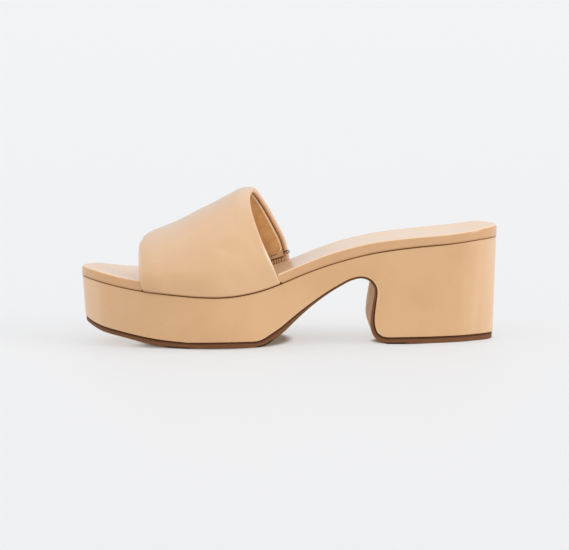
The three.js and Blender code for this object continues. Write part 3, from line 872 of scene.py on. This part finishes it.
hem_low, hem_height = 9.7 * mm, 12.3 * mm
lining_inset, hem_inset = 1.45 * mm, 1.2 * mm
print(f"hems from {hem_low / mm:.1f} to {hem_height / mm:.1f} mm above the seam")

# %% Lining sheet
# Faces across and along the sheet, its rough length in millimetres, and the rounding of its corners
lining_columns, lining_rows, rough_length = 96, 170, 170
corner_radius = 3.2 * mm


def place_lining(u, v):
    rough = np.full_like(u, 0.5)
    low = girth_at(rough, hem_height, True)
    high = girth_at(rough, hem_height, False)
    from_hem = np.minimum(v, 1 - v) * rough_length * mm
    corner = corner_radius - np.sqrt(corner_radius**2 - np.clip(corner_radius - from_hem, 0, None) ** 2)
    depth = depth_inside(u, mix(low, high, v), lining_inset + corner)
    low, high = girth_at(depth, hem_height, True), girth_at(depth, hem_height, False)
    girth = mix(low, high, v)
    waves = 0.12 * mm * np.sin(depth * 31 + girth * 19) * np.sin(girth * 43 + 1.3)
    return inner_point(depth, girth, 0.45 * mm + waves).T


lining = lay_sheet("strap_lining", lining_columns, lining_rows, place_lining)
for _ in ("leather", "raw edge"):
    lining.data.materials.append(None)
for i, polygon in enumerate(lining.data.polygons):
    polygon.material_index = int(i % lining_columns in (0, lining_columns - 1))
lining_points = points_of(lining)
# Painted shade: darker high up under the instep, and a little near its low ends
mark_painted_shade(lining, 0.3 * ease(70 * mm, 90 * mm, lining_points[:, 2])
             + 0.1 * (1 - ease(48 * mm, 62 * mm, lining_points[:, 2])))
print("lining laid,", len(lining.data.vertices), "points")

# %% Thickness of the inner sheets
foot_middle = Vector((ball_x - 5 * mm, 0, 45 * mm))


def thicken_outwards(sheet, thickness, **settings):
    """Turns an inner sheet to face the foot, then gives it a thickness behind that face."""
    take(sheet)
    facing = sum((foot_middle - p.center).dot(p.normal) for p in sheet.data.polygons)
    if facing < 0:
        bpy.ops.object.mode_set(mode="EDIT")
        bpy.ops.mesh.select_all(action="SELECT")
        bpy.ops.mesh.flip_normals()
        bpy.ops.object.mode_set(mode="OBJECT")
    return apply_modifier(sheet, "SOLIDIFY", thickness=thickness, offset=-1, **settings)


thicken_outwards(lining, 0.5 * mm, material_offset_rim=1)
smooth(lining, 40)
tell(lining)

# %% Places of the hems and pleats
pleat_count, pleat_columns = 52, 8


def place_hem(medial):
    """A flat tube along the lining's end: v goes round it."""
    def place(u, v):
        angle = 2 * np.pi * v
        depth = depth_inside(u, np.full_like(u, 0.5), hem_inset)
        height = (hem_low + hem_height) / 2 + (hem_height - hem_low) / 2 * np.cos(angle)
        girth = girth_at(depth, height, medial)
        return inner_point(depth, girth, 0.6 * mm + 0.4 * mm * np.sin(angle)).T
    return place


def place_pleats(medial):
    """A sheet below the hem, thrown into small folds."""
    def place(u, v):
        depth = depth_inside(u, np.full_like(u, 0.5), hem_inset)
        height = mix(5.4 * mm, hem_low + 0.5 * mm, v)
        girth = girth_at(depth, height, medial)
        fold = np.abs(np.sin(np.pi * depth * pleat_count)) ** 0.7
        return inner_point(depth, girth, 0.25 * mm + 0.5 * mm * fold).T
    return place


# %% Rows of stitches
def stitch_row(name, places, length, width, height):
    """One stitch, a small bead, is modelled once and copied to each place: a point and its direction."""
    deselect()
    bpy.ops.mesh.primitive_uv_sphere_add(segments=8, ring_count=6, radius=1)
    first = named(name)
    bead = points_of(first)
    copies = [first]
    for i, (point, along, out) in enumerate(places):
        copy = first if i == 0 else first.copy()
        if i:
            copy.data = first.data.copy()
            bpy.context.collection.objects.link(copy)
            copies.append(copy)
        across = np.cross(out, along)
        laid = (bead[:, :1] * along * length + bead[:, 1:2] * across * width + bead[:, 2:] * out * height) / 2
        set_points(copy, laid + point)
    take(first)
    for copy in copies:
        copy.select_set(True)
    bpy.ops.object.join()
    bpy.ops.object.shade_smooth()
    return first


def row_places(points, outwards, spacing):
    """Places at an even spacing along a line of points."""
    steps = np.concatenate([[0], np.cumsum(np.linalg.norm(np.diff(points, axis=0), axis=1))])
    count = int(steps[-1] / spacing)
    at = (np.arange(count) + 0.5) * spacing
    spot = np.stack([np.interp(at, steps, points[:, i]) for i in range(3)], 1)
    along = unit(np.stack([np.interp(at, steps, np.gradient(points[:, i])) for i in range(3)], 1))
    out = unit(np.stack([np.interp(at, steps, outwards[:, i]) for i in range(3)], 1))
    return list(zip(spot, along, out))


def groove_line(back):
    girth = np.linspace(0.02, 0.98, 500)
    inset = groove_place / strap_width(girth)
    depth = 1 - inset if back else inset
    low, high = girth_at(depth, hem_height - 1 * mm, True), girth_at(depth, hem_height - 1 * mm, False)
    girth = mix(low, high, np.linspace(0, 1, len(girth)))
    outwards, _ = strap_directions(depth, girth)
    return inner_point(depth, girth, np.full_like(depth, -0.6 * mm)), outwards


def hem_line(medial, height):
    depth = depth_inside(np.linspace(0.01, 0.99, 300), np.full(300, 0.5), 1.8 * mm)
    girth = girth_at(depth, height, medial)
    outwards, _ = strap_directions(depth, girth)
    return inner_point(depth, girth, np.full_like(depth, 0.95 * mm)), outwards


# %% Hems and pleats on both sides
hems, pleats, seams = [], [], []
for side in ("medial", "lateral"):
    medial = side == "medial"
    hem = close_and_clean(lay_sheet(f"lining_hem_{side}", 80, 12, place_hem(medial)))
    # Painted shade along the hem's lower edge, where the pleats tuck under it
    mark_painted_shade(hem, 1 - ease(hem_low, hem_low + 0.5 * mm, height_over_seam(points_of(hem))))
    hems.append(smooth(hem, 60))
    columns = pleat_count * pleat_columns
    pleat = lay_sheet(f"lining_pleats_{side}", columns, 12, place_pleats(medial))
    row, column = np.divmod(np.arange(len(pleat.data.vertices)), columns + 1)
    # Painted shade in the pleats' valleys and along their top rows under the hem
    valley = 1 - np.abs(np.sin(np.pi * column / pleat_columns)) ** 0.7
    mark_painted_shade(pleat, 0.75 * valley + ease(8, 10, row))
    pleats.append(smooth(thicken_outwards(pleat, 0.2 * mm), 60))
    places = row_places(*hem_line(medial, hem_height - 0.3 * mm), 1.6 * mm)
    seams.append(stitch_row(f"hem_stitches_{side}", places, 1.15 * mm, 0.75 * mm, 0.6 * mm))

# %% Dark beads of painted shadow at the strap's corners, and stitches in the groove
# Each bead is painted shadow, standing for the dark gap at a base corner
gaps = []
for depth, edge in ((0, -1), (1, 1)):
    for girth in (0.003, 0.997):
        tip = strap_point(np.array([depth]), np.array([girth]), np.array([np.pi / 2]), np.zeros(1), edge)[0]
        tip[0] -= 0.95 * mm * edge
        tip[1] = side_y(share_of(tip[0]), tip[1] > 0) + (0.45 if edge < 0 else 0.2) * mm * np.sign(tip[1])
        tip[2] = seam_height(tip[0], tip[1]) + 0.65 * mm
        gaps.append((tip, np.array([1, 0, 0]), np.array([0, 1, 0])))
corner_shadow_beads = stitch_row("corner_shadow_beads", gaps, 1.5 * mm, 1.3 * mm, 1.1 * mm)
tell(corner_shadow_beads)
for edge, back in (("front", False), ("back", True)):
    seams.append(stitch_row(f"groove_stitches_{edge}", row_places(*groove_line(back), 2.0 * mm),
                            1.5 * mm, 0.42 * mm, 0.42 * mm))
for piece in hems + pleats + seams:
    tell(piece)

# %% [markdown]
# ## The loose end of a thread
# Where the back groove meets the lateral hem, the last stitch leaves a short dark curl of thread. It is a
# small tube laid round a path of a few points.

# %% Thread end
def lay_tube(name, path, radius, around=10):
    along = unit(np.gradient(path, axis=0))
    side = unit(np.cross(along, np.array([0.3, 0.2, 1.0])))
    other = np.cross(along, side)

    def place(u, v):
        i = np.rint(v * (len(path) - 1)).astype(int)
        angle = 2 * np.pi * u
        ring = np.cos(angle)[:, None] * side[i] + np.sin(angle)[:, None] * other[i]
        return (path[i] + radius * ring).T

    return smooth(close_and_clean(lay_sheet(name, around, len(path) - 1, place)), 60)


corner_depth = np.array([0.992])
corner_girth = girth_at(corner_depth, hem_height - 0.5 * mm, False)
knot = strap_point(corner_depth, corner_girth, np.array([2.2]), np.array([0.35 * mm]))[0]
curl = np.array([(1.6, 0.3, -0.5), (0.6, 0.5, 0.1), (-0.4, 0.7, 0.5), (-1.2, 0.6, 0.2), (-1.1, 0.6, -0.6),
                 (-0.4, 0.7, -0.9), (0.3, 0.8, -0.5)]) * 1.15 * mm
thread_end = lay_tube("thread_end", smooth_path(knot + curl, 5), 0.26 * mm)
tell(thread_end)

# %% [markdown]
# ## Shader maths
# A material is a sum of small patterns. To write such sums as plain Python, one small class holds a
# socket and overloads the operators, each of which adds its Math node. Every other node comes from one
# method that takes the node's type, its settings and the values or links of its sockets.

# %% Wires and finishes
class Wire:
    """A socket of a material, which can stand in sums and products."""

    def __init__(self, finish, socket):
        self.finish, self.socket = finish, socket

    def __add__(self, other):
        return self.finish.maths("ADD", self, other)

    def __radd__(self, other):
        return self.finish.maths("ADD", other, self)

    def __sub__(self, other):
        return self.finish.maths("SUBTRACT", self, other)

    def __rsub__(self, other):
        return self.finish.maths("SUBTRACT", other, self)

    def __mul__(self, other):
        return self.finish.maths("MULTIPLY", self, other)

    def __rmul__(self, other):
        return self.finish.maths("MULTIPLY", other, self)


class Finish:
    """A material of this sandal and the nodes that make it."""

    def __init__(self, name):
        self.material = bpy.data.materials.new(name)
        self.material.use_nodes = True
        self.shader = self.material.node_tree.nodes["Principled BSDF"]
        self.place = self.wire("ShaderNodeTexCoord", output="Object")

    def node(self, kind, settings=None, sockets=None):
        node = self.material.node_tree.nodes.new(kind)
        for key, value in (settings or {}).items():
            if key == "stops":
                first, last = node.color_ramp.elements
                (first.position, first.color), (last.position, last.color) = value
            else:
                setattr(node, key, value)
        self.plug(node, sockets or {})
        return node

    def plug(self, node, sockets):
        for key, value in sockets.items():
            if isinstance(value, Wire):
                self.material.node_tree.links.new(value.socket, node.inputs[key])
            else:
                node.inputs[key].default_value = value

    def wire(self, kind, settings=None, sockets=None, output=0):
        return Wire(self, self.node(kind, settings, sockets).outputs[output])

    def maths(self, operation, first, second):
        return self.wire("ShaderNodeMath", {"operation": operation}, {0: first, 1: second})

    def kept(self, name):
        """A number that is kept with the points of the mesh."""
        return self.wire("ShaderNodeAttribute", {"attribute_name": name}, output="Fac")

    def noise(self, scale, detail=2.0, roughness=0.5):
        return self.wire("ShaderNodeTexNoise", None, {
            "Vector": self.place, "Scale": scale, "Detail": detail, "Roughness": roughness})

    def cells(self, scale):
        return self.wire("ShaderNodeTexVoronoi", None, {"Vector": self.place, "Scale": scale})

    def within(self, value, low, high):
        return self.wire("ShaderNodeMapRange", {"interpolation_type": "SMOOTHSTEP"}, {
            "Value": value, "From Min": low, "From Max": high})

    def blend(self, factor, first, second):
        return self.wire("ShaderNodeMix", {"data_type": "RGBA"}, {0: factor, 6: first, 7: second}, output=2)

    def finish(self, colour, roughness, height=None, depth=0.1 * mm, strength=0.4, **sockets):
        made = {"Base Color": colour, "Roughness": roughness}
        if height is not None:
            made["Normal"] = self.wire("ShaderNodeBump", None, {
                "Height": height, "Distance": depth, "Strength": strength})
        self.plug(self.shader, {**made, **{key.replace("_", " "): value for key, value in sockets.items()}})
        print("finish:", self.material.name)
        return self.material


def tone(red, green, blue):
    """A colour read off the photograph as 0 to 255, made linear."""
    share = np.array([red, green, blue]) / 255
    linear = np.where(share <= 0.04045, share / 12.92, ((share + 0.055) / 1.055) ** 2.4)
    return (*[float(c) for c in linear], 1.0)


def dress(piece, slot, *materials, stands_for=None):
    piece.data.materials.clear()
    for material in materials:
        piece.data.materials.append(material)
    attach(piece, "root")
    if stands_for:
        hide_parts(stands_for)


# %% [markdown]
# ## Leather
# The sandal is covered in smooth tan leather with a satin finish. Close up it has a fine grain of cells
# about half a millimetre wide, with finer noise between them, and its colour drifts softly over some
# centimetres. The gloss is a mid roughness with a thin soft coat, which turns pale at grazing angles. The
# marks kept with the meshes darken it with painted shade in the creases and the seam, make it paler with a
# painted sheen on the crowns and rolled edges, and give the near back edge a painted highlight and more
# gloss.
# The lamps hardly reach the footbed under the strap, so painted light makes its leather lighter there.

# %% Smooth leather
def smooth_leather(name, light, deep, crown, roughness, coat, shaded=None):
    finish = Finish(name)
    drift = finish.noise(26, 3)
    grit = finish.noise(900, 3, 0.6)
    pores = finish.cells(1500)
    mottle = finish.within(0.75 * drift + 0.25 * grit, 0.32, 0.68)
    colour = finish.blend(mottle, deep, light)
    # Painted sheen on the crowns and edges, then painted light under the strap, then painted shade in creases
    colour = finish.blend(finish.kept("crown"), colour, crown)
    if shaded:
        colour = finish.blend(finish.kept("shaded"), colour, shaded)
    colour = finish.blend(finish.kept("crease"), colour, tone(112, 58, 10))
    rough = (roughness - 0.05) + 0.10 * grit
    shine = coat * (1 - finish.kept("crease")) + 0.5 * finish.kept("polish")
    height = 0.6 * pores + 0.4 * grit + 2.0 * finish.noise(90, 2)
    return finish.finish(colour, rough, height, 0.06 * mm, 0.35,
                         Coat_Weight=shine, Coat_Roughness=0.26, IOR=1.3)


# The third colour of each leather is its painted sheen; the footbed's last colour is its painted light
strap_leather = smooth_leather(
    "strap_smooth_leather", tone(221, 180, 137), tone(215, 172, 129), tone(231, 201, 175), 0.38, 0.45)
footbed_leather = smooth_leather(
    "footbed_smooth_leather", tone(212, 166, 121), tone(205, 158, 113), tone(246, 213, 181), 0.34, 0.6,
    shaded=tone(255, 227, 188))
platform_leather = smooth_leather(
    "platform_smooth_leather", tone(217, 173, 127), tone(210, 165, 118), tone(240, 212, 186), 0.4, 0.6)

# %% [markdown]
# ## Lining, threads and sole
# The lining is an unpolished, darker split leather with visible mottling, and its raw edge is pale. The
# outsole is stained brown and its edge is darkest along the top; a painted shadow darkens its lower edge
# where it leaves the floor, and the face under the arch is lighter. Each point keeps its height within the
# sole as a number.

# %% Lining and threads
def dull(name, light, deep, scale, roughness=0.7, bump=0.5):
    finish = Finish(name)
    cloud = finish.noise(scale, 4, 0.6)
    grit = finish.noise(scale * 9, 3, 0.6)
    colour = finish.blend(finish.within(0.7 * cloud + 0.3 * grit, 0.35, 0.65), deep, light)
    # Painted shade on the lining's high parts, the hems, the pleats and the seam strip
    colour = finish.blend(finish.kept("crease"), colour, tone(86, 44, 8))
    return finish.finish(colour, roughness - 0.06 + 0.12 * grit, grit + 0.5 * cloud, strength=bump)


lining_leather = dull("lining_split_leather", tone(224, 177, 120), tone(204, 153, 95), 120)
raw_edge = dull("lining_raw_edge", tone(252, 234, 204), tone(244, 218, 180), 300)
hem_leather = dull("hem_leather", tone(214, 174, 130), tone(196, 152, 108), 150)
tan_thread = dull("tan_thread", tone(140, 96, 58), tone(96, 60, 34), 700)
dark_thread = dull("dark_thread", tone(92, 84, 76), tone(60, 54, 48), 900)
# Painted shade for the seam strip, and painted shadow for the beads at the strap's corners
seam_shadow = dull("seam_shadow", tone(156, 102, 42), tone(136, 82, 28), 200, 0.9)
gap_shadow = dull("gap_shadow", tone(70, 38, 12), tone(56, 28, 8), 200, 0.8)


# %% Stained sole with painted shadow
# Where the sole leaves the floor, a dark line of painted shadow lies along its lower edge: place along the
# sandal and reach
sole_shadows = [(68 * mm, 11 * mm), (17 * mm, 7 * mm), (-61 * mm, 10 * mm)]


def stained_sole_with_painted_shadow(name, low, high):
    finish = Finish(name)
    height = finish.kept("sole_height")
    grit = finish.noise(500, 4, 0.6)
    streak = finish.noise(60, 3)
    mask = finish.within(height + 0.25 * (streak - 0.5) + 0.12 * (grit - 0.5), 0.58, 0.84)
    worn = finish.blend(0.3 * grit + 0.2 * streak, low, tone(150, 104, 72))
    along = finish.wire("ShaderNodeSeparateXYZ", None, {0: finish.place}, output="X")
    spots = sum(1 - finish.within(finish.maths("ABSOLUTE", along - middle, 0), 0.4 * reach, reach)
                for middle, reach in sole_shadows)
    # Painted shadow along the lower edge of the sole at those places
    painted_contact_shadow = spots * (1 - finish.within(height, 0.13, 0.31))
    colour = finish.blend(painted_contact_shadow, finish.blend(mask, worn, high), tone(26, 11, 4))
    return finish.finish(colour, 0.42 + 0.2 * grit, grit, 0.08 * mm, 0.4, IOR=1.3)


def side_of_sole(piece):
    """The height of each point within the outsole, as a share of its thickness, kept with the mesh."""
    points = points_of(piece)
    flat = np.stack([points[:, 0] - sideways_lag * (points[:, 1] - heel_width / 2), points[:, 2]], 1)
    a, b = underside[:-1, :2], underside[1:, :2]
    share = np.clip(np.einsum("ijk,jk->ij", flat[:, None] - a, b - a) / ((b - a) ** 2).sum(1), 0, 1)
    away = np.linalg.norm(flat[:, None] - a - share[..., None] * (b - a), axis=-1)
    near = away.argmin(1)
    height = away.min(1) / np.maximum(underside[near, 2], 1e-6)
    keep(piece, "sole_height", height)
    return height


sole_edge = stained_sole_with_painted_shadow("sole_edge", tone(104, 63, 33), tone(76, 37, 11))
sole_tread = dull("sole_tread", tone(218, 181, 130), tone(194, 153, 104), 90, 0.6, 0.3)
height = side_of_sole(outsole)
print(f"sole height from {height.min():.2f} to {height.max():.2f}")

# %% Dress the pieces
dress(strap, "strap_leather", strap_leather, stands_for="upper")
dress(footbed, "footbed_leather", footbed_leather, stands_for="footbed")
dress(platform, "platform_leather", platform_leather, stands_for="platform_heel")
dress(outsole, "outsole_rubber", sole_edge, sole_tread, stands_for="outsole")
for polygon in outsole.data.polygons:
    polygon.material_index = int(all(height[v] < 0.06 for v in polygon.vertices))
dress(seam_strip, None, seam_shadow)
rims = [polygon.material_index for polygon in lining.data.polygons]
dress(lining, "strap_leather", lining_leather, raw_edge)
for polygon, rim in zip(lining.data.polygons, rims):
    polygon.material_index = rim
for piece in hems + pleats:
    dress(piece, None, hem_leather)
for piece in seams:
    dress(piece, None, tan_thread)
dress(thread_end, None, dark_thread)
dress(corner_shadow_beads, None, gap_shadow)
print("rim faces of the lining:", sum(rims))

# %% [markdown]
# ## Studio
# The sandal stands on a seamless near white floor that fills the view, in soft light from all around.
# The floor glows a little, so that it stays near white up to its far end, and soft patches of painted shadow
# darken it where the sole rests and, faintly, all round the sandal. Three broad lamps far away give form:
# one above the camera, one from the toe, and a stronger one behind the heel, which draws the heel's back and
# the strap's rear edge.

# %% Floor
deselect()
bpy.ops.mesh.primitive_plane_add(size=40, location=(0, 0, -0.15 * mm))
floor = named("floor")
floor_paint = Finish("floor_paint")


def patch(centre, half, core=0.86):
    """A soft round patch of painted shadow on the floor, where one part of the sole rests: 1 in its core and
    0 outside.
    """
    mapped = floor_paint.wire("ShaderNodeMapping", None, {
        "Vector": floor_paint.place, "Location": tuple(-c / h for c, h in zip(centre, half)),
        "Scale": tuple(1 / h for h in half)})
    radius = floor_paint.wire("ShaderNodeVectorMath", {"operation": "LENGTH"}, {0: mapped}, output="Value")
    return 1 - floor_paint.within(radius, core, 1.06)


# Painted shadows on the floor under the ball, the toe spring and the heel, and a faint one all round
ball_painted_shadow = patch((45 * mm, 0, 0), (46 * mm, 45 * mm, 1), 0.9)
toe_painted_shadow = patch((62 * mm, 25 * mm, 0), (36 * mm, 16 * mm, 1), 0.4)
heel_painted_shadow = patch((-68 * mm, 12 * mm, 0), (21 * mm, 17 * mm, 1), 0.8)
around = patch((60 * mm, 0, 0), (120 * mm, 90 * mm, 1), 0.2)
lit = (1 - ball_painted_shadow) * (1 - toe_painted_shadow) * (1 - heel_painted_shadow) * (1 - 0.09 * around)
glow = floor_paint.blend(1 - lit, (0.87, 0.876, 0.89, 1), (0.10, 0.085, 0.07, 1))
floor.data.materials.append(floor_paint.finish(
    (0.26, 0.262, 0.266, 1), 0.6, Emission_Color=glow, Emission_Strength=0.62))
floor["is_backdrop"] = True

# %% Light
world = bpy.data.worlds.new("studio")
bpy.context.scene.world = world
world.use_nodes = True
world.node_tree.nodes["Background"].inputs["Color"].default_value = (1.0, 1.0, 1.0, 1)
world.node_tree.nodes["Background"].inputs["Strength"].default_value = 0.80


def far_lamp(name, direction, strength, spread):
    deselect()
    turn = Vector(direction).to_track_quat("Z", "Y").to_euler()
    bpy.ops.object.light_add(type="SUN", location=Vector(direction) * 3, rotation=turn)
    lamp = bpy.context.object
    lamp.name = name
    lamp.data.energy, lamp.data.angle = strength, math.radians(spread)
    print(f"{name}: strength {strength}, {spread} degrees wide")


far_lamp("lamp_front", (0.5, 1.0, 1.4), 0.25, 60)
far_lamp("lamp_left", (1.2, 0.2, 0.9), 0.30, 60)
far_lamp("lamp_heel", (-1.0, 0.45, 0.4), 1.1, 25)
view_settings = bpy.context.scene.view_settings
view_settings.view_transform, view_settings.look = "Standard", "None"

# %% Camera
elevation, yaw, distance = math.radians(6.9), math.radians(3), 2.0
back = Vector((math.sin(yaw) * math.cos(elevation), math.cos(yaw) * math.cos(elevation), math.sin(elevation)))
bpy.ops.object.camera_add(location=Vector((3.2 * mm, 0, 38.3 * mm)) + distance * back)
camera = bpy.context.object
camera.rotation_mode = "QUATERNION"
camera.rotation_quaternion = (-back).to_track_quat("-Z", "Y")
camera.data.lens, camera.data.sensor_width = 211.4, 36
camera.data.clip_end = 100
bpy.context.scene.camera = camera
print(f"camera {distance} m away, {math.degrees(elevation):.1f} degrees above the floor")

# %% Size and finish
dressed_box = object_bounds()
for label, (low, high) in (("CAD", cad_box), ("visual", dressed_box)):
    print(label, "box:", [round(c / mm, 2) for c in low], [round(c / mm, 2) for c in high])
